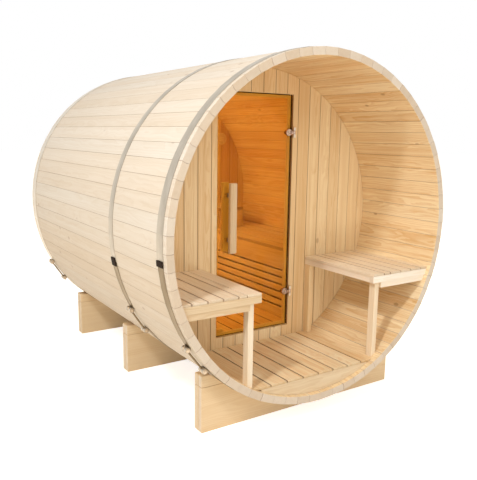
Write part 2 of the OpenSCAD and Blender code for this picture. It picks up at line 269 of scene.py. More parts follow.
def pine(name, pale, deep, groove, figure=1.0, spread=0.8, knots=0.4, fade=1.0, end_tone_and_light=END_TONE_AND_SHADE):
    """Planed pine: growth rings, fibres, small knots, dark joints that are partly painted shade, and a tone
    of its own for each board.

    Figure is the strength of the grain, spread how far boards differ in tone, knots the strength of the
    knots, and fade how fast the dark of a joint falls off. The cut ends are tinted: on most boards darker,
    end grain's own tone with painted shade, and on the cradles paler, painted light.
    """
    g = Graph(bpy.data.materials.new(name))
    grain = g.attribute("grain")
    tone, hue, end_variety = g.split(g.attribute("board"))
    # Joint is how deep a corner lies in a joint between boards, whose dark is partly painted shade; end marks
    # the cut ends.
    joint, end, _ = g.split(g.attribute("wear"))

    # Knots, and the rings that bend around them
    knot_cells = (3.4, 6.0, 6.0)
    cells = g.add("TexVoronoi", {"Vector": g.stretch(grain, knot_cells), "Scale": 1.0})
    near_knot = cells.outputs["Distance"]
    knot = g.span(near_knot, 0.045, 0.075, 1.0, 0.0)
    swirl = g.span(near_knot, 0.0, 0.3, 0.010, 0.0)

    # Growth rings around a wandering pith, each with a soft early and a sharp late edge
    rings_per_metre = 150.0
    _, across, depth = g.split(grain)
    square = g.math("ADD", g.math("MULTIPLY", across, across), g.math("MULTIPLY", depth, depth))
    pith = g.math("SQRT", square)
    wander = g.noise(g.stretch(grain, (1.3, 7.0, 7.0)), 2.0)
    ripple = g.noise(g.stretch(grain, (7.0, 34.0, 34.0)), 2.0)
    wobble = g.math("ADD", g.math("MULTIPLY", wander, 0.040), g.math("MULTIPLY", ripple, 0.012))
    radius = g.math("ADD", g.math("ADD", pith, wobble), swirl)
    ring = g.math("FRACT", g.math("MULTIPLY", radius, rings_per_metre))
    late = g.math("MULTIPLY", g.span(ring, 0.25, 0.9), g.span(ring, 0.9, 1.0, 1.0, 0.0))

    # Fine fibres, streaks along the board and wide clouds
    fibre = g.noise(g.stretch(grain, (5.0, 420.0, 420.0)), 1.0)
    streak = g.noise(g.stretch(grain, (0.9, 46.0, 46.0)), 2.0, 0.6)
    cloud = g.noise(g.stretch(grain, (1.6, 5.0, 5.0)), 2.0)

    share = g.span(late, 0.0, 1.0, 0.42 - 0.10 * figure, 0.42 + 0.20 * figure)
    for value, high, weight in ((fibre, 0.7, 0.16), (streak, 0.75, 0.38), (cloud, 0.7, 0.22)):
        share = g.math("ADD", share, g.span(value, 0.3, high, -weight * figure / 2, weight * figure / 2))
    tone_weight = 0.55 * spread
    share = g.math("ADD", share, g.span(tone, 0.0, 1.0, -tone_weight / 2, tone_weight / 2), clamp=True)
    colour = g.mix(share, linear(*pale), linear(*deep))
    colour = g.mix(1.0, colour, g.mix(hue, WHITE, BLUSH_TINT), "MULTIPLY")
    # The cut ends take their tint by a share that differs from board to board: darker with painted shade on
    # most boards, paler with painted light on the cradles.
    end_share = g.math("MULTIPLY", end, g.span(end_variety, 0.0, 1.0, 0.5, 0.9))
    colour = g.mix(1.0, colour, g.mix(end_share, WHITE, end_tone_and_light), "MULTIPLY")
    colour = g.mix(g.math("MULTIPLY", knot, knots), colour, linear(*KNOT_COLOUR))
    # Painted shade, with the joint's own dark: corners deep in a joint are darkened towards the groove
    # colour.
    colour = g.mix(g.math("POWER", joint, fade), colour, linear(*groove))

    height = g.math("ADD", g.math("MULTIPLY", fibre, 0.6), g.math("MULTIPLY", late, 0.4))
    return g.finish({
        "Base Color": colour,
        "Roughness": g.span(streak, 0.2, 0.8, 0.50, 0.68),
        "Specular IOR Level": 0.35,
        "Normal": g.bump(height, 0.25, 0.0006),
    })


def brushed_metal(name, tint, shade, rough_low, rough_high):
    """Rolled metal with fine lines along the strip and soft smudges."""
    g = Graph(bpy.data.materials.new(name))
    grain = g.attribute("grain")
    lines = g.noise(g.stretch(grain, (6.0, 900.0, 900.0)), 2.0)
    smudge = g.noise(g.stretch(grain, (9.0, 26.0, 26.0)), 3.0)
    return g.finish({
        "Base Color": g.mix(g.span(smudge, 0.3, 0.7), linear(*tint), linear(*shade)),
        "Metallic": 1.0,
        "Roughness": g.span(g.math("ADD", lines, smudge), 0.7, 1.3, rough_low, rough_high),
        "Normal": g.bump(lines, 0.12, 0.0003),
    })


def rubber(name):
    """Matt rubber with a fine moulded texture."""
    g = Graph(bpy.data.materials.new(name))
    place = g.add("TexCoord", {}).outputs["Object"]
    pores = g.noise(g.stretch(place, (900.0, 900.0, 900.0)), 2.0)
    dust = g.noise(g.stretch(place, (30.0, 30.0, 30.0)), 3.0)
    return g.finish({
        "Base Color": g.mix(g.span(dust, 0.35, 0.75), linear(30, 19, 12), linear(50, 35, 24)),
        "Roughness": g.span(dust, 0.3, 0.7, 0.7, 0.85),
        "Specular IOR Level": 0.2,
        "Normal": g.bump(pores, 0.3, 0.0004),
    })


def amber_glass(name):
    """Clear glass tinted amber through its thickness, a little uneven as rolled sheet is."""
    g = Graph(bpy.data.materials.new(name))
    place = g.add("TexCoord", {}).outputs["Object"]
    haze = g.noise(g.stretch(place, (5.0, 5.0, 5.0)), 3.0)
    waves = g.noise(g.stretch(place, (4.0, 4.0, 3.0)), 1.0)
    return g.finish({
        "Base Color": g.mix(g.span(haze, 0.3, 0.7), (0.81, 0.55, 0.185, 1.0), (0.79, 0.52, 0.165, 1.0)),
        "Roughness": g.span(haze, 0.35, 0.8, 0.0, 0.02),
        "IOR": 1.15,
        "Transmission Weight": 1.0,
        "Normal": g.bump(waves, 0.02, 0.002),
    })


OUTSIDE_PINE = pine("outside_pine", (241, 233, 221), (224, 208, 186), (150, 104, 60),
                    figure=0.7, knots=0.3, fade=1.4)
INSIDE_PINE = pine("inside_pine", (250, 231, 193), (218, 174, 114), (136, 76, 28),
                   figure=1.2, spread=1.0, knots=0.5, fade=0.9)
WALL_PINE = pine("wall_pine", (248, 229, 190), (212, 170, 112), (122, 64, 20),
                 figure=0.8, spread=1.1, fade=0.65)
DECK_PINE = pine("deck_pine", (252, 236, 202), (228, 188, 130), (104, 52, 16),
                 figure=1.1, spread=0.9, knots=0.5, fade=0.8)
BENCH_PINE = pine("bench_pine", (249, 239, 220), (226, 202, 166), BENCH_GROOVE, fade=0.8)
# Painted shade: a darker copy of the bench pine, for the left bench's rails, the deck's front board and the
# outer handle.
SHADED_PINE = pine("shaded_pine", (230, 211, 180), (204, 173, 130), BENCH_GROOVE)
# Painted light on the cradles' cut ends, which are tinted paler.
CRADLE_PINE = pine("cradle_pine", (244, 226, 195), (219, 187, 138), (146, 98, 54),
                   figure=0.6, fade=1.4, end_tone_and_light=CRADLE_END_LIGHT)
# Painted light: a paler copy of the bench pine, for the right bench's rails and for the stops and inner
# handle behind the glass.
LIT_PINE = pine("lit_pine", (253, 247, 236), (240, 224, 200), BENCH_GROOVE)
STRAP_STEEL = brushed_metal("strap_steel", (211, 200, 183), (193, 182, 165), 0.36, 0.5)
# Painted light: a paler copy of the strap steel, for the rear band.
LIT_REAR_STRAP_STEEL = brushed_metal("lit_rear_strap_steel", (234, 224, 208), (222, 211, 194), 0.4, 0.55)
# Painted shade: a darker, warmer copy of the strap steel, for the lower straps and rods that face down.
SHADED_STRAP_STEEL = brushed_metal("shaded_strap_steel", (158, 140, 112), (144, 126, 99), 0.4, 0.55)
BRIGHT_METAL = brushed_metal("bright_metal", (250, 242, 230), (236, 226, 212), 0.3, 0.4)
# Painted reflection: polished metal tinted rose for the warm wood and amber glass it mirrors.
REFLECTION_TINTED_CHROME = brushed_metal("reflection_tinted_chrome", (210, 190, 176), (176, 152, 138), 0.12, 0.2)
ZINC = brushed_metal("zinc", (226, 209, 185), (206, 188, 164), 0.45, 0.6)
DARK_RUBBER = rubber("dark_rubber")
AMBER_GLASS = amber_glass("amber_glass")
# By station: the front and middle lower straps carry painted shade, the rear band painted light.
UPPER_STRAP_METALS = (STRAP_STEEL, STRAP_STEEL, LIT_REAR_STRAP_STEEL)
LOW_STRAP_METALS = (SHADED_STRAP_STEEL, SHADED_STRAP_STEEL, LIT_REAR_STRAP_STEEL)


# Outlines across the barrel, as x and height over its axis
def rectangle(x0, x1, z0, z1):
    return [(x0, z0), (x1, z0), (x1, z1), (x0, z1)]


def below(outline, slope_x, slope_z, limit):
    """The part of an outline on the near side of a straight line."""
    kept = []
    for start, stop in zip(outline, outline[1:] + outline[:1]):
        room = limit - slope_x * start[0] - slope_z * start[1]
        room_next = limit - slope_x * stop[0] - slope_z * stop[1]
        if room >= 0:
            kept.append(start)
        if room * room_next < 0:
            share = room / (room - room_next)
            kept.append((start[0] + share * (stop[0] - start[0]), start[1] + share * (stop[1] - start[1])))
    return kept


def in_barrel(outline):
    """The part of an outline inside the barrel."""
    for k in range(ROUND_SIDES):
        turn = 2 * math.pi * k / ROUND_SIDES
        outline = below(outline, math.cos(turn), math.sin(turn), FIT_R)
    return outline


def arc(radius, start, stop, steps):
    """Points on a circle around the outline's origin, from one angle to another."""
    turns = [start + (stop - start) * k / steps for k in range(steps + 1)]
    return [(radius * math.cos(turn), radius * math.sin(turn)) for turn in turns]


def hexagon(radius):
    return [(radius * math.cos(math.pi / 3 * k), radius * math.sin(math.pi / 3 * k)) for k in range(6)]


# Solids
def frame_at(origin, u, v, w):
    """The place of a solid whose outline lies along u and v and whose depth runs along w."""
    return Matrix.Translation(origin) @ Matrix((u, v, w)).transposed().to_4x4()


def across_barrel(y):
    return frame_at(Vector((0, y, AXIS_Z)), X, Z, Y)


def outward(turn):
    """The direction out of the barrel at an angle in radians."""
    return Vector((math.cos(turn), 0, math.sin(turn)))


def prism(outline, depth, place, ease=0.0, steps=1):
    """A solid with an outline and a depth, its sharp edges eased."""
    shape = bmesh.new()
    near = [shape.verts.new((u, v, 0)) for u, v in outline]
    far = [shape.verts.new((u, v, depth)) for u, v in outline]
    shape.faces.new(near)
    shape.faces.new(far[::-1])
    for k in range(len(outline)):
        shape.faces.new((near[k - 1], near[k], far[k], far[k - 1]))
    shape.transform(place)
    bmesh.ops.recalc_face_normals(shape, faces=shape.faces)
    if ease:
        sharp = [edge for edge in shape.edges if edge.calc_face_angle(0) > SHARP_EDGE]
        bmesh.ops.bevel(shape, geom=sharp, offset=ease, offset_type="OFFSET", segments=steps, profile=0.5,
                        affect="EDGES", clamp_overlap=True)
    return shape


def box_prism(low, high, ease, steps):
    """A box between two corners, its edges eased."""
    outline = rectangle(low.x, high.x, low.z - AXIS_Z, high.z - AXIS_Z)
    return prism(outline, high.y - low.y, across_barrel(low.y), ease, steps)


def turned(profile, sides, place):
    """A solid turned from a profile of radius and height, around w."""
    shape = bmesh.new()
    rings = []
    for radius, height in profile:
        turns = [2 * math.pi * k / sides for k in range(sides)]
        rings.append([shape.verts.new((radius * math.cos(t), radius * math.sin(t), height)) for t in turns])
    for ring, following in zip(rings, rings[1:]):
        for k in range(sides):
            shape.faces.new((ring[k - 1], ring[k], following[k], following[k - 1]))
    shape.faces.new(rings[0][::-1])
    shape.faces.new(rings[-1])
    shape.transform(place)
    bmesh.ops.recalc_face_normals(shape, faces=shape.faces)
    return shape


def disc_profile(radius, height, round_by):
    """A turned disc with its two rims rounded."""
    steps = 4
    low = [(radius - round_by + round_by * math.sin(a), round_by - round_by * math.cos(a))
           for a in (math.pi / 2 * k / steps for k in range(steps + 1))]
    return low + [(r, height - h) for r, h in low[::-1]]


class Pieces:
    """Solids gathered into one mesh, each keeping its own grain, tone and joint shading."""

    def __init__(self, seed):
        self.luck = random.Random(seed)
        self.points = []
        self.faces = []
        self.grain = []
        self.board = []
        self.wear = []
        self.inner = []

    def add(self, shape, along, thick, joint=0.0, inward=None, plain_ends=False):
        """Takes over a solid whose fibres run along one direction.

        Faces turned inward get the second finish. Plain ends have no joint shaded on them, also where they
        are curved.
        """
        luck = self.luck
        across = thick.cross(along)
        middle = sum((vert.co for vert in shape.verts), Vector()) / len(shape.verts)
        offset = Vector((luck.uniform(0, 60), luck.uniform(-0.05, 0.05), luck.uniform(0.03, 0.14)))
        tone = (min(1, max(0, luck.gauss(0.5, 0.22))), luck.random(), luck.random())
        joint *= luck.uniform(0.6, 1.0)
        first = len(self.points)
        shape.verts.index_update()
        for vert in shape.verts:
            reach = vert.co - middle
            self.points.append(vert.co.copy())
            self.grain.append(offset + Vector((reach.dot(along), reach.dot(across), reach.dot(thick))))
            self.board.append(tone)
        kinds = {face: self.kind(face.normal, along, across, thick) for face in shape.faces}
        for face in shape.faces:
            self.faces.append([first + vert.index for vert in face.verts])
            self.inner.append(1 if inward and face.normal.dot(inward) > INWARD else 0)
            plain = plain_ends and abs(face.normal.dot(along)) > CUT_END
            for vert in face.verts:
                around = {kinds[near] for near in vert.link_faces}
                # Painted shade, with the joint's own dark: the deeper a corner lies in a joint, the darker it
                # is painted.
                groove = 0.0 if plain else joint * self.depth_in_joint(kinds[face], around)
                self.wear.append((groove, 1.0 if kinds[face] == "end" else 0.0, 0.0))
        shape.free()

    @staticmethod
    def kind(normal, along, across, thick):
        """Which side of a board a face is on."""
        for name, direction in (("face", thick), ("end", along), ("side", across)):
            if abs(normal.dot(direction)) > SAME_WAY:
                return name
        return "ease"

    @staticmethod
    def depth_in_joint(kind, around):
        """How deep a corner lies in the joint between two boards, from 0 to 1."""
        if kind == "side":
            return 1.0
        if "end" in around:
            return 0.15
        if kind == "ease" and "side" in around and "face" not in around:
            return 1.0
        return 0.5 if kind == "ease" and around == {"ease"} else 0.0

    def make(self, name, body, slot, materials, replaced=()):
        """Builds the piece and says what it rides on, replaces and is made of."""
        mesh = bpy.data.meshes.new(name)
        mesh.from_pydata(self.points, [], self.faces)
        for label, domain, values in (("grain", "POINT", self.grain), ("board", "POINT", self.board),
                                      ("wear", "CORNER", self.wear)):
            layer = mesh.attributes.new(label, "FLOAT_VECTOR", domain)
            layer.data.foreach_set("vector", [number for value in values for number in value])
        mesh.polygons.foreach_set("material_index", self.inner)
        mesh.shade_smooth()
        for material in materials:
            mesh.materials.append(material)
        piece = bpy.data.objects.new(name, mesh)
        bpy.context.scene.collection.objects.link(piece)
        shading = piece.modifiers.new("weighted_normals", "WEIGHTED_NORMAL")
        shading.keep_sharp = True
        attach(piece, body)
        if replaced:
            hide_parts(*replaced)
        return piece


def solids(node):
    """The boxes of a node's separate solids, in order."""
    mesh = frame["nodes"][node].data
    keys = [tuple(round(value, 5) for value in vert.co) for vert in mesh.vertices]
    group = {key: key for key in keys}

    def root(key):
        while group[key] != key:
            group[key] = group[group[key]]
            key = group[key]
        return key

    for polygon in mesh.polygons:
        corners = [root(keys[index]) for index in polygon.vertices]
        for corner in corners[1:]:
            group[root(corner)] = root(corners[0])
    found = {}
    for key in set(keys):
        found.setdefault(root(key), []).append(key)
    boxes = [(Vector(map(min, zip(*points))), Vector(map(max, zip(*points)))) for points in found.values()]
    return sorted(boxes, key=lambda box: tuple(box[0]) + tuple(box[1]))


def longest_and_thinnest(size):
    order = sorted(range(3), key=lambda axis: size[axis])
    axes = (X, Y, Z)
    return axes[order[2]], axes[order[0]]


def timber(node, seed, material, slot, ease, joint=0.0, lift=0.0, shaded_back_material=None):
    """Boards in place of a node's solids, cut to the round of the barrel as those are.

    The board across the front is raised by lift, up to the lips that rest on it. Boards behind the first ones
    can take a second, darker material: painted shade for boards that stand in shadow.
    """
    pieces = Pieces(seed)
    node_low, node_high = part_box(node)
    for low, high in solids(node):
        if low.y - node_low.y < FIT and node_high.z - high.z < FIT:
            high = high + Z * lift
        outline = in_barrel(rectangle(low.x, high.x, low.z - AXIS_Z, high.z - AXIS_Z))
        shape = prism(outline, high.y - low.y, across_barrel(low.y), ease, 2)
        along, thick = longest_and_thinnest(high - low)
        first = len(pieces.faces)
        pieces.add(shape, along, thick, joint)
        if shaded_back_material and low.y - node_low.y > FIT:
            pieces.inner[first:] = [1] * (len(pieces.faces) - first)
    pieces.make(node + "_boards", "sauna", slot, [material, shaded_back_material or material], [node])


def lipped_boards(node, face_t, seed, material, slot, ease, joint, open_edge=False):
    """Boards whose front ends rest a thin lip on the board across them.

    With an open edge the board nearest the middle of the barrel has no neighbour, so no dark joint.
    """
    pieces = Pieces(seed)
    boards = solids(node)
    reach = min(min(abs(low.x), abs(high.x)) for low, high in boards)
    for low, high in boards:
        lip = high.z - FRONT_LIP
        open_side = open_edge and min(abs(low.x), abs(high.x)) == reach
        for y, z0, z1 in ((low.y, lip, high.z), (low.y + face_t, low.z, lip)):
            outline = in_barrel(rectangle(low.x, high.x, z0 - AXIS_Z, z1 - AXIS_Z))
            shape = prism(outline, high.y - y, across_barrel(y), ease, 2)
            pieces.add(shape, Y, Z, 0.0 if open_side else joint)
    pieces.make(node + "_boards", "sauna", slot, [material], [node])


# Barrel
def stave_outline():
    """A stave's section as radius and breadth, with a bead on one side that fits the cove of the next."""
    steps = 8
    outer = OUTER_FLAT * math.tan(PITCH / 2) - STAVE_GAP / 2
    inner = INNER_FLAT * math.tan(PITCH / 2) - STAVE_GAP / 2
    rise = []
    for k in range(1, steps):
        share = k / steps
        swell = STAVE_BEAD * (1 - math.cos(2 * math.pi * share)) / 2
        rise.append((INNER_FLAT + share * STAVE_T, inner + share * (outer - inner), swell))
    cove = [(r, -b + swell) for r, b, swell in rise]
    bead = [(r, b + swell) for r, b, swell in rise[::-1]]
    outside = [(OUTER_FLAT, -outer), (OUTER_FLAT, outer)]
    return [(INNER_FLAT, -inner)] + cove + outside + bead + [(INNER_FLAT, inner)]


def stave_sector(sector):
    """One sixth of the staves, each cut a little short and set a little deep by chance."""
    pieces = Pieces(100 + sector)
    outline = stave_outline()
    first = sector * STAVE_COUNT // len(SECTORS)
    last = (sector + 1) * STAVE_COUNT // len(SECTORS)
    for k in range(first, last):
        middle = math.pi / 2 + STAVE_TURN + (k + 0.5) * PITCH
        out = outward(middle)
        sideways = Vector((-math.sin(middle), 0, math.cos(middle)))
        short = pieces.luck.uniform(0, STAVE_SHORT)
        sunk = pieces.luck.uniform(0, STAVE_SUNK)
        place = frame_at(Vector((0, FRONT_Y + short, AXIS_Z)) - out * sunk, out, sideways, Y)
        shape = prism(outline, BACK_Y - FRONT_Y - 2 * short, place, STAVE_EASE)
        pieces.add(shape, Y, out, 1.0, -out)
    node = "staves_" + SECTORS[sector]
    pieces.make(node + "_planks", "sauna", "stave_pine", [OUTSIDE_PINE, INSIDE_PINE], [node])


def strap_radius(turn):
    """Outside of the staves at an angle, where a strap lies on their flats and bends at their joints."""
    step = (turn - math.pi / 2 - STAVE_TURN) / PITCH
    return (OUTER_FLAT + FIT) / math.cos((step - math.floor(step) - 0.5) * PITCH)


def strap(pieces, y, width, start, stop):
    """A flat steel strap around the staves from one angle to another, in degrees."""
    start, stop = math.radians(start), math.radians(stop)
    bends = {start, stop}
    for k in range(-STAVE_COUNT, 2 * STAVE_COUNT):
        joint = math.pi / 2 + STAVE_TURN + k * PITCH
        bends.update(joint + share * PITCH for share in BEND_SHARES)
    turns = sorted(turn for turn in bends if start <= turn <= stop)
    half, ease = width / 2, BAND_T * 0.4
    section = [(0, -half + ease), (ease, -half), (BAND_T - ease, -half), (BAND_T, -half + ease),
               (BAND_T, half - ease), (BAND_T - ease, half), (ease, half), (0, half - ease)]
    shape = bmesh.new()
    rings = []
    base = Vector((0, y, AXIS_Z))
    for turn in turns:
        out = outward(turn)
        rings.append([shape.verts.new(base + out * (strap_radius(turn) + lift) + Y * shift)
                      for lift, shift in section])
    for ring, following in zip(rings, rings[1:]):
        for k in range(len(section)):
            shape.faces.new((ring[k - 1], ring[k], following[k], following[k - 1]))
    shape.faces.new(rings[0])
    shape.faces.new(rings[-1][::-1])
    bmesh.ops.recalc_face_normals(shape, faces=shape.faces)
    first = len(pieces.grain)
    pieces.add(shape, Z, X)
    # The lines of the metal follow the strap around, and each strap has its own stretch of them
    apart = 7 * len(pieces.faces)
    pieces.grain[first:] = [Vector((turn * OUTER_FLAT + apart, shift, lift))
                            for turn in turns for lift, shift in section]


def tensioner_spread():
    """Half the angle between a tensioner's nuts, in degrees, and the radius they sit at."""
    seat = OUTER_EDGE + BAND_T + 2 * FIT + NUT_R
    return math.degrees(math.asin(NUT_SPAN / 2 / seat)), seat


def bands():
    """An upper strap between the pads of each band, and lower ones from the pads to the tensioner."""
    spread, _ = tensioner_spread()
    for k, name in enumerate(STATIONS):
        low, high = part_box("band_" + name)
        y = (low.y + high.y) / 2
        upper = Pieces(200 + k)
        strap(upper, y, UPPER_STRAP_W[k], 180 - PAD_TURNS[k], PAD_TURNS[k])
        upper.make("upper_strap_" + name, "sauna", "band_steel", [UPPER_STRAP_METALS[k]], ["band_" + name])
        lower = Pieces(210 + k)
        strap(lower, y, LOW_STRAP_W[k], PAD_TURNS[k], TENSIONER_TURNS[k] - spread)
        strap(lower, y, LOW_STRAP_W[k], TENSIONER_TURNS[k] + spread, 540 - PAD_TURNS[k])
        lower.make("lower_strap_" + name, "sauna", "band_steel", [LOW_STRAP_METALS[k]])


def thread_profile(length):
    """A threaded rod's outline, with a chamfer at each end."""
    count = int(length / THREAD_PITCH)
    crests = [(ROD_R - THREAD_DEPTH * (k % 2), -length / 2 + k * length / (2 * count))
              for k in range(1, 2 * count)]
    return [(ROD_R * 0.7, -length / 2)] + crests + [(ROD_R * 0.7, length / 2)]


def barrel_nut(pieces, centre, out, reach):
    """A round nut along the barrel with a hexagon on its front end."""
    cap_t, cap_rise = 0.004, 0.003
    place = frame_at(centre - Y * reach, out, out.cross(-Y), Y)
    pieces.add(turned(disc_profile(NUT_R, 2 * reach, NUT_ROUND), 32, place), Y, out)
    cap_place = frame_at(centre - Y * (reach + cap_rise), out, out.cross(-Y), Y)
    pieces.add(prism(hexagon(NUT_R * 0.62), cap_t, cap_place, NUT_EASE), Y, out)


def strap_loops(pieces, centre, y, out, width):
    """The end of a strap, looped around a nut on both sides of the rod."""
    outer = arc(NUT_R + BAND_T, -LOOP_TURN, LOOP_TURN, LOOP_STEPS)
    inner = arc(NUT_R + FIT, LOOP_TURN, -LOOP_TURN, LOOP_STEPS)
    for edge in (-1, 1):
        start = y + edge * width / 4 - width / 7
        place = frame_at(Vector((centre.x, start, centre.z)), out, out.cross(-Y), Y)
        pieces.add(prism(outer + inner, width * 2 / 7, place, LOOP_EASE), Z, Y)


def tensioners():
    """Barrel nuts in the looped ends of the straps, drawn together by a threaded rod with locknuts."""
    spread, seat = tensioner_spread()
    nuts, loops, rods = Pieces(220), Pieces(221), Pieces(222)
    for k, name in enumerate(STATIONS):
        low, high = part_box("band_" + name)
        y = (low.y + high.y) / 2
        axis = Vector((0, y, AXIS_Z))
        for side in (-1, 1):
            out = outward(math.radians(TENSIONER_TURNS[k] + side * spread))
            barrel_nut(nuts, axis + out * seat, out, (high.y - low.y) / 2 - NUT_INSET)
            strap_loops(loops, axis + out * seat, y, out, LOW_STRAP_W[k])
        out = outward(math.radians(TENSIONER_TURNS[k]))
        rod_way = out.cross(-Y)
        centre = axis + out * seat * math.cos(math.radians(spread))
        rod = turned(thread_profile(NUT_SPAN + 4 * NUT_R), 16, frame_at(centre, out, Y, rod_way))
        rods.add(rod, rod_way, Y)
        for side in (-1, 1):
            reach = side * (NUT_SPAN / 2 + NUT_R + LOCKNUT_T / 2) - LOCKNUT_T / 2
            place = frame_at(centre + rod_way * reach, out, Y, rod_way)
            nuts.add(prism(hexagon(ROD_R * 1.7), LOCKNUT_T, place, NUT_EASE), rod_way, Y)
    nuts.make("tensioner_screws", "sauna", "bright_metal", [ZINC], ["band_tensioners"])
    # Painted shade: the rods take the darker copy of the strap steel.
    rods.make("tensioner_rods", "sauna", "bright_metal", [SHADED_STRAP_STEEL])
    loops.make("strap_loops", "sauna", "band_steel", [STRAP_STEEL])


def pads():
    """Dark rounded keepers over the joints of the straps, with a shallow lip on each edge."""
    pieces = Pieces(230)
    for low, high in solids("band_pads"):
        centre = (low + high) / 2
        front = centre.y - FRONT_Y < FRONT_PAD_REACH
        width = UPPER_STRAP_W[0 if front else 1] - 2 * PAD_INSET
        half = FRONT_PAD_HALF if front else PAD_HALF
        lip = half - PAD_LIP
        out = Vector((centre.x, 0, centre.z - AXIS_Z)).normalized()
        seat = OUTER_EDGE + BAND_T + 2 * FIT
        rim = Vector((0, centre.y - width / 2, AXIS_Z)) + out * seat
        side = [(PAD_T, lip), (PAD_EDGE_T, half), (0, half)]
        outline = [(rise, -reach) for rise, reach in side[::-1]] + side
        pieces.add(prism(outline, width, frame_at(rim, out, out.cross(-Y), Y), PAD_EASE, 2), Y, out)
    pieces.make("strap_pads", "sauna", "dark_rubber", [DARK_RUBBER], ["band_pads"])


def cradle(name, seed):
    """Two layers of timber, each a wide plank with a narrow one glued along its top."""
    node = "cradle_" + name
    low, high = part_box(node)
    bottom, top = low.z - AXIS_Z, high.z - AXIS_Z
    seam = top - CRADLE_CAP
    seat = OUTER_EDGE + FIT
    layer = (high.y - low.y - CRADLE_SLOT) / 2
    top_turn, seam_turn = math.asin(top / seat), math.asin(seam / seat)
    cap = [(high.x, seam), (high.x, top)] + arc(seat, top_turn, seam_turn, 6)
    plank = [(low.x, bottom), (high.x, bottom), (high.x, seam)]
    plank += arc(seat, seam_turn, -math.pi - seam_turn, 48) + [(low.x, seam)]
    pieces = Pieces(seed)
    for step in range(2):
        place = across_barrel(low.y + step * (layer + CRADLE_SLOT))
        for side in (-1, 1):
            outline = [(side * x, z) for x, z in cap]
            pieces.add(prism(outline, layer, place, CRADLE_EASE), X, Y, CRADLE_JOINT)
        pieces.add(prism(plank, layer, place, CRADLE_EASE), X, Y, CRADLE_JOINT)
    pieces.make(node + "_timber", "sauna", "stave_pine", [CRADLE_PINE], [node])


# End walls
def wall_joints():
    """Where the joints of the wall boards lie, from one side of the barrel to the other."""
    first = WALL_JOINT - math.ceil((WALL_JOINT + FIT_R) / WALL_BOARD) * WALL_BOARD
    count = math.ceil(2 * FIT_R / WALL_BOARD) + 2
    return [first + k * WALL_BOARD for k in range(count)]


def wall_outlines(x0, x1, doorway):
    """A wall board's outlines: whole, or cut around the doorway."""
    x0, x1 = max(x0, -FIT_R), min(x1, FIT_R)
    if not doorway or x1 <= DOOR_L or x0 >= DOOR_R:
        return [rectangle(x0, x1, -FIT_R, FIT_R)]
    if x0 >= DOOR_L and x1 <= DOOR_R:
        return [rectangle(x0, x1, -FIT_R, DOOR_BOT), rectangle(x0, x1, DOOR_TOP, FIT_R)]
    if x0 < DOOR_L:
        return [[(x0, -FIT_R), (x1, -FIT_R), (x1, DOOR_BOT), (DOOR_L, DOOR_BOT), (DOOR_L, DOOR_TOP),
                 (x1, DOOR_TOP), (x1, FIT_R), (x0, FIT_R)]]
    return [[(x0, -FIT_R), (x1, -FIT_R), (x1, FIT_R), (x0, FIT_R), (x0, DOOR_TOP), (DOOR_R, DOOR_TOP),
             (DOOR_R, DOOR_BOT), (x0, DOOR_BOT)]]


def wall(name, seed, nodes, doorway):
    """Upright boards across the barrel, without slivers at its sides."""
    low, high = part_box(nodes[0])
    joints = wall_joints()
    pieces = Pieces(seed)
    for x0, x1 in zip(joints, joints[1:]):
        for outline in wall_outlines(x0 + STAVE_GAP / 2, x1 - STAVE_GAP / 2, doorway):
            outline = in_barrel(outline)
            if len(outline) > 2 and max(x for x, _ in outline) - min(x for x, _ in outline) > WALL_SLIVER:
                shape = prism(outline, high.y - low.y, across_barrel(low.y), WALL_EASE)
                pieces.add(shape, Z, Y, 1.0, plain_ends=True)
    pieces.make(name, "sauna", "wall_pine", [WALL_PINE], nodes)


def vent():
    """A turned cover with a knob inside, and a flat turned cover outside."""
    pieces = Pieces(320)
    boxes = sorted(solids("rear_vent"), key=lambda box: box[0].y)
    inner, outer = boxes[0], boxes[-1]
    centre_x, centre_z = (outer[0].x + outer[1].x) / 2, (outer[0].z + outer[1].z) / 2
    face_in, face_out = rear_low.y, rear_high.y
    knob = face_in - inner[0].y
    inside = [(VENT_R, 0), (VENT_R, VENT_T - 0.005), (VENT_R - 0.005, VENT_T), (0.024, VENT_T),
              (0.020, VENT_T - 0.003), (0.015, VENT_T), (0.012, VENT_T + 0.004), (0.0155, knob - 0.004),
              (0.013, knob), (0.004, knob)]
    back = outer[1].y - face_out
    outside_r = (outer[1].x - outer[0].x) / 2
    outside = [(outside_r, 0), (outside_r, back - 0.006), (outside_r - 0.006, back), (0.034, back),
               (0.030, back - 0.004), (0.026, back), (0.004, back)]
    inner_place = frame_at(Vector((centre_x, face_in, centre_z)), X, Z, -Y)
    outer_place = frame_at(Vector((centre_x, face_out, centre_z)), X, Z, Y)
    pieces.add(turned(inside, 48, inner_place), Z, Y)
    pieces.add(turned(outside, 48, outer_place), Z, Y)
    pieces.make("rear_vent_covers", "sauna", "wall_pine", [BENCH_PINE], ["rear_vent"])


# Door
def door_stops():
    """Stops around the doorway with a small catch block in their lower corner."""
    pieces = Pieces(400)
    boxes = solids("door_stops")
    for low, high in boxes:
        along, thick = longest_and_thinnest(high - low)
        pieces.add(box_prism(low, high, ease=0.0015, steps=2), along, thick)
    low, high = boxes[0]
    corner_z = low.z + high.x - low.x
    catch_low = Vector((high.x + FIT, low.y, corner_z + FIT))
    catch_high = Vector((high.x + CATCH_L, high.y, corner_z + CATCH_H))
    pieces.add(box_prism(catch_low, catch_high, ease=0.002, steps=2), X, Y)
    # Painted light on the stops behind the glass.
    pieces.make("door_stop_strips", "sauna", "wall_pine", [LIT_PINE], ["door_stops"])


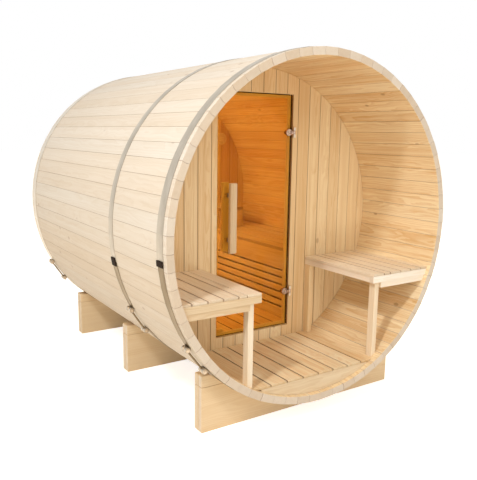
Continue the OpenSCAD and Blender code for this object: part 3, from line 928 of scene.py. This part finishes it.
def door_seal():
    """Dark strips on the stops, narrowed from the side of the opening."""
    pieces = Pieces(401)
    boxes = solids("door_seal")
    centre = (boxes[0][0] + boxes[-1][1]) / 2
    for low, high in boxes:
        along, thick = longest_and_thinnest(high - low)
        across = X if along == Z else Z
        trim = (high - low).dot(across) - SEAL_W
        if ((low + high) / 2 - centre).dot(across) > 0:
            low = low + across * trim
        else:
            high = high - across * trim
        pieces.add(box_prism(low, high, ease=0.0015, steps=3), along, thick)
    pieces.make("door_seal_strips", "sauna", "dark_rubber", [DARK_RUBBER], ["door_seal"])


def door_glass():
    low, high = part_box("door_glass")
    pieces = Pieces(402)
    pieces.add(box_prism(low, high, ease=0.001, steps=2), Z, Y)
    pieces.make("door_pane", "door", "amber_glass", [AMBER_GLASS], ["door_glass"])


def screw_head(pieces, centre, radius):
    """A domed screw head with a hollow in its middle, facing the porch."""
    dome = [(radius, 0), (radius, 0.0006), (radius * 0.8, 0.0016), (radius * 0.42, 0.0021),
            (radius * 0.36, 0.0008)]
    pieces.add(turned(dome, 20, frame_at(centre, X, Z, -Y)), Z, Y)


def knuckle(pieces, pivot_y, base, height):
    """A knuckle on the hinge's pin, from its base up."""
    profile = disc_profile(KNUCKLE_R, height, KNUCKLE_ROUND)
    pieces.add(turned(profile, 24, frame_at(Vector((DOOR_R, pivot_y, base)), X, Y, Z)), Z, Y)


def hinge_leaf(pieces, z):
    """A plate screwed to the wall, with a knuckle above and below the door's one."""
    leaf_low, leaf_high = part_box("hinge_leaves")
    pivot_y = leaf_low.y + KNUCKLE_R
    plate_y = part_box("front_wall_right")[0].y - LEAF_T
    plate_x, plate_end = DOOR_R + KNUCKLE_R, leaf_high.x
    plate_z = z - AXIS_Z
    outline = rectangle(plate_x, plate_end, plate_z - LEAF_H / 2, plate_z + LEAF_H / 2)
    pieces.add(prism(outline, LEAF_T, across_barrel(plate_y), LEAF_EASE, 2), Z, Y)
    for step in (-1, 1):
        screw_place = Vector(((plate_x + plate_end) / 2, plate_y, z + step * SCREW_RISE))
        screw_head(pieces, screw_place, SCREW_R)
        inner, outer = z + step * (KNUCKLE_H / 2 + KNUCKLE_GAP), z + step * LEAF_H / 2
        base, height = min(inner, outer), abs(outer - inner)
        knuckle(pieces, pivot_y, base, height)
        web = rectangle(DOOR_R, plate_x + KNUCKLE_R, base - AXIS_Z, base + height - AXIS_Z)
        web_t = plate_y - pivot_y + WEB_SINK
        pieces.add(prism(web, web_t, across_barrel(pivot_y), WEB_EASE, 2), Z, Y)


def clamp_profile(radius, depth):
    """A turned clamp with a rounded rim, a ring groove and a sunk screw in its middle."""
    rim_r, steps = 0.003, 4
    rim = [(radius - rim_r + u, depth - rim_r + v) for u, v in arc(rim_r, 0.0, math.pi / 2, steps)]
    face = [(radius * 0.62, depth), (radius * 0.58, depth - 0.0012), (radius * 0.54, depth),
            (radius * 0.26, depth), (radius * 0.22, depth - 0.003), (radius * 0.05, depth - 0.003)]
    return [(radius, 0)] + rim + face


def hinge_clamp(pieces, z):
    """A clamp on the glass with an arm to its knuckle, and a smaller disc behind the glass."""
    pane_low, pane_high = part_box("door_glass")
    pivot_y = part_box("hinge_leaves")[0].y + KNUCKLE_R
    base = z - KNUCKLE_H / 2
    clamp_x = (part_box("hinge_clamps")[0].x + DOOR_R - KNUCKLE_R - CLAMP_GAP) / 2
    place = frame_at(Vector((clamp_x, pane_low.y, z)), X, Z, -Y)
    pieces.add(turned(clamp_profile(CLAMP_R, CLAMP_T), 48, place), Z, Y)
    knuckle(pieces, pivot_y, base, KNUCKLE_H)
    arm_low, arm_high = base + ARM_INSET - AXIS_Z, base + KNUCKLE_H - ARM_INSET - AXIS_Z
    arm = rectangle(clamp_x + ARM_START, DOOR_R, arm_low, arm_high)
    pieces.add(prism(arm, ARM_T, across_barrel(pivot_y - ARM_T / 2), ARM_EASE, 2), X, Y)
    disc_x = DOOR_R - BACK_DISC_REACH - BACK_DISC_R
    behind = frame_at(Vector((disc_x, pane_high.y, z)), X, Z, Y)
    pieces.add(turned(disc_profile(BACK_DISC_R, BACK_DISC_T, BACK_DISC_ROUND), 32, behind), Z, Y)


def hinges():
    fixed, moving = Pieces(410), Pieces(411)
    leaf_low, leaf_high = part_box("hinge_leaves")
    for z in (leaf_low.z + LEAF_H / 2, leaf_high.z - LEAF_H / 2):
        hinge_leaf(fixed, z)
        hinge_clamp(moving, z)
    fixed.make("hinge_plates", "sauna", "bright_metal", [BRIGHT_METAL], ["hinge_leaves"])
    # Painted reflection in the discs' rose tint.
    moving.make("hinge_discs", "door", "bright_metal", [REFLECTION_TINTED_CHROME], ["hinge_clamps"])


def handle(node, seed, outside, material):
    """A rounded timber bar on two turned posts, each on a flat foot against the glass."""
    low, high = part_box(node)
    pane_low, pane_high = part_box("door_glass")
    if outside:
        out, seat_y, bar_y = -Y, pane_low.y, low.y
        length = seat_y - bar_y - HANDLE_T
    else:
        out, seat_y, bar_y = Y, pane_high.y, high.y - HANDLE_T
        length = bar_y - seat_y
    pieces = Pieces(seed)
    outline = rectangle(low.x, high.x, low.z - AXIS_Z, high.z - AXIS_Z)
    pieces.add(prism(outline, HANDLE_T, across_barrel(bar_y), HANDLE_ROUND, 4), Z, Y)
    middle = (low + high) / 2
    post = [(POST_R, FOOT_T), (POST_R, length - POST_FLARE), (POST_R * 1.2, length)]
    plate = rectangle(-POST_R * 1.3, POST_R * 1.3, -POST_R * 1.5, POST_R * 1.5)
    for step in (-1, 1):
        foot = frame_at(Vector((middle.x, seat_y, middle.z + step * POST_PITCH / 2)), X, Z, out)
        pieces.add(turned(post, 24, foot), Y, X)
        pieces.add(prism(plate, FOOT_T, foot, FOOT_EASE), Z, Y, FOOT_JOINT)
    pieces.make(node + "_bar", "door", "bench_pine", [material], [node])


# Porch and room
def left_leg():
    """The left bench's leg, with its top cut back behind."""
    low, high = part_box("left_bench_legs")
    base, top = low.z - AXIS_Z, high.z - AXIS_Z
    outline = [(low.y, base), (high.y, base), (high.y, top - LEG_CUT), (high.y - LEG_CUT, top), (low.y, top)]
    pieces = Pieces(520)
    place = frame_at(Vector((low.x, 0, AXIS_Z)), Y, Z, X)
    pieces.add(prism(outline, high.x - low.x, place, LEG_EASE, 2), Z, X)
    pieces.make("left_bench_legs_boards", "sauna", "bench_pine", [BENCH_PINE], ["left_bench_legs"])


def floors():
    """The deck on its front board and bearers, and the floor of the room on its own."""
    fascia_low, fascia_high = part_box("deck_fascia")
    fascia_t = fascia_high.y - fascia_low.y
    lipped_boards("porch_deck", fascia_t, 500, DECK_PINE, "floor_pine", ease=0.003, joint=0.6)
    timber("room_floor", 501, DECK_PINE, "floor_pine", ease=0.003, joint=0.6)
    # Painted shade on the deck's front board.
    timber("deck_fascia", 510, SHADED_PINE, "floor_pine", ease=0.0015, lift=BOARD_T - FRONT_LIP)
    timber("deck_bearers", 511, DECK_PINE, "floor_pine", ease=0.002)
    timber("floor_bearers", 512, DECK_PINE, "floor_pine", ease=0.002)


def benches():
    left_leg()
    # Painted shade on the left bench's rails, painted light on the right bench's rails.
    for k, (side, rail_shading_material) in enumerate((("left", SHADED_PINE), ("right", LIT_PINE))):
        lipped_boards(side + "_bench_slats", RAIL_T, 530 + k, BENCH_PINE, "bench_pine",
                      ease=0.0025, joint=0.5, open_edge=True)
        timber(side + "_bench_frame", 540 + k, rail_shading_material, "bench_pine",
               ease=0.0012, lift=SLAT_T - FRONT_LIP)
    # Painted shade: the rear leg takes the darker wall pine.
    timber("right_bench_legs", 542, BENCH_PINE, "bench_pine", LEG_EASE, shaded_back_material=WALL_PINE)
    room_nodes = ("inner_bench_slats", "inner_bench_frame", "inner_bench_skirt", "inner_bench_posts",
                  "head_rest")
    for k, node in enumerate(room_nodes):
        timber(node, 550 + k, BENCH_PINE, "wall_pine", ease=0.003, joint=0.4)


def build_object():
    for sector in range(len(SECTORS)):
        stave_sector(sector)
    bands()
    tensioners()
    pads()
    for k, name in enumerate(STATIONS):
        cradle(name, 240 + k)
    front_nodes = ["front_wall_left", "front_wall_right", "front_wall_header", "front_wall_sill"]
    wall("front_wall_boards", 300, front_nodes, doorway=True)
    wall("rear_wall_boards", 310, ["rear_wall"], doorway=False)
    vent()
    door_stops()
    door_seal()
    door_glass()
    hinges()
    # Painted shade on the outer handle, painted light on the inner one behind the glass.
    handle("handle_outer", 420, True, SHADED_PINE)
    handle("handle_inner", 421, False, LIT_PINE)
    floors()
    benches()


# Studio
def bright_to_view(graph):
    """One where a ray comes straight from the camera, off metal or through glass, and zero elsewhere."""
    path = graph.add("LightPath", {}).outputs
    seen = graph.math("MAXIMUM", path["Is Camera Ray"], path["Is Glossy Ray"])
    return graph.math("MAXIMUM", seen, path["Is Transmission Ray"])


def floor():
    """A wide pale floor that keeps the object's shadow and is white to the camera."""
    reach = FLOOR_REACH
    corners = [(-reach, -reach, 0), (reach, -reach, 0), (reach, reach, 0), (-reach, reach, 0)]
    mesh = bpy.data.meshes.new("studio_floor")
    mesh.from_pydata(corners, [], [(0, 1, 2, 3)])
    plane = bpy.data.objects.new("studio_floor", mesh)
    bpy.context.scene.collection.objects.link(plane)
    g = Graph(bpy.data.materials.new("studio_floor"))
    matt = g.add("BsdfDiffuse", {"Color": FLOOR_COLOUR})
    lift = g.math("MULTIPLY", bright_to_view(g), FLOOR_LIFT)
    glow = g.add("Emission", {"Color": WHITE, "Strength": lift})
    both = g.add("AddShader", {0: matt.outputs[0], 1: glow.outputs[0]})
    g.add("OutputMaterial", {"Surface": both.outputs[0]})
    mesh.materials.append(g.owner)


def world():
    """Soft light from all around, seen as white."""
    g = Graph(bpy.data.worlds.new("studio"))
    light = g.add("Background", {"Color": WORLD_COLOUR, "Strength": WORLD_LIGHT})
    white = g.add("Background", {"Color": WHITE, "Strength": 1.0})
    both = g.add("MixShader", {0: bright_to_view(g), 1: light.outputs[0], 2: white.outputs[0]})
    g.add("OutputWorld", {"Surface": both.outputs[0]})
    bpy.context.scene.world = g.owner


def lamp(name, position, target, size, power, colour=(1.0, 1.0, 1.0), through=True):
    """A soft round lamp that camera and reflections don't show. Through lets rays through glass meet it."""
    data = bpy.data.lights.new(name, "AREA")
    data.shape = "DISK"
    data.size = size
    data.energy = power
    data.color = colour
    holder = bpy.data.objects.new(name, data)
    holder.location = position
    holder.rotation_euler = (Vector(target) - Vector(position)).to_track_quat("-Z", "Y").to_euler()
    holder.visible_camera = False
    holder.visible_glossy = False
    holder.visible_transmission = through
    bpy.context.scene.collection.objects.link(holder)


def lights():
    """Lamps around the barrel's middle, one on the ground in front of the porch and one in the room."""
    centre = Vector((0, 0, AXIS_Z))
    lamp("key", centre + Vector((-3.9, -2.5, 4.0)), centre, 0.6, KEY_POWER)
    lamp("front_high", centre + Vector((-1.4, -5.4, 3.5)), centre, 3.0, HIGH_POWER)
    lamp("front_low", centre + Vector((-3.2, -5.2, -0.7)), centre, 3.0, LOW_POWER)
    side = centre + Vector((-0.6, 0.0, -0.75))
    lamp("side_low", side + Vector((-4.4, -1.5, 0.0)), side, 2.0, SIDE_POWER, SIDE_COLOUR)
    lamp("ground", (0.3, FRONT_Y - 1.9, 0.03), (0.3, FRONT_Y - 0.9, 2.0), 1.6, GROUND_POWER)
    lamp("back", centre + Vector((4.4, 3.8, 2.4)), centre, 3.0, BACK_POWER)
    room = centre + Y * rear_low.y
    room_place, room_aim = room + Vector((-0.45, -0.30, 0.50)), room + Vector((0.55, -0.90, -0.30))
    lamp("room", room_place, room_aim, 0.4, ROOM_POWER, ROOM_COLOUR, through=False)


def camera():
    data = bpy.data.cameras.new("camera")
    data.lens = CAMERA_LENS
    data.sensor_width = CAMERA_SENSOR
    holder = bpy.data.objects.new("camera", data)
    bpy.context.scene.collection.objects.link(holder)
    level = math.cos(CAMERA_ELEVATION)
    back = Vector((math.sin(CAMERA_AZIMUTH) * level, -math.cos(CAMERA_AZIMUTH) * level,
                   math.sin(CAMERA_ELEVATION)))
    right = (-back).cross(Z).normalized()
    up = right.cross(-back)
    tilted = right * math.cos(CAMERA_ROLL) + up * math.sin(CAMERA_ROLL)
    holder.matrix_world = frame_at(CAMERA_PLACE, tilted, back.cross(tilted), back)
    bpy.context.scene.camera = holder


camera()
floor()
world()
lights()
build_object()
bpy.context.scene.view_settings.view_transform = "Standard"
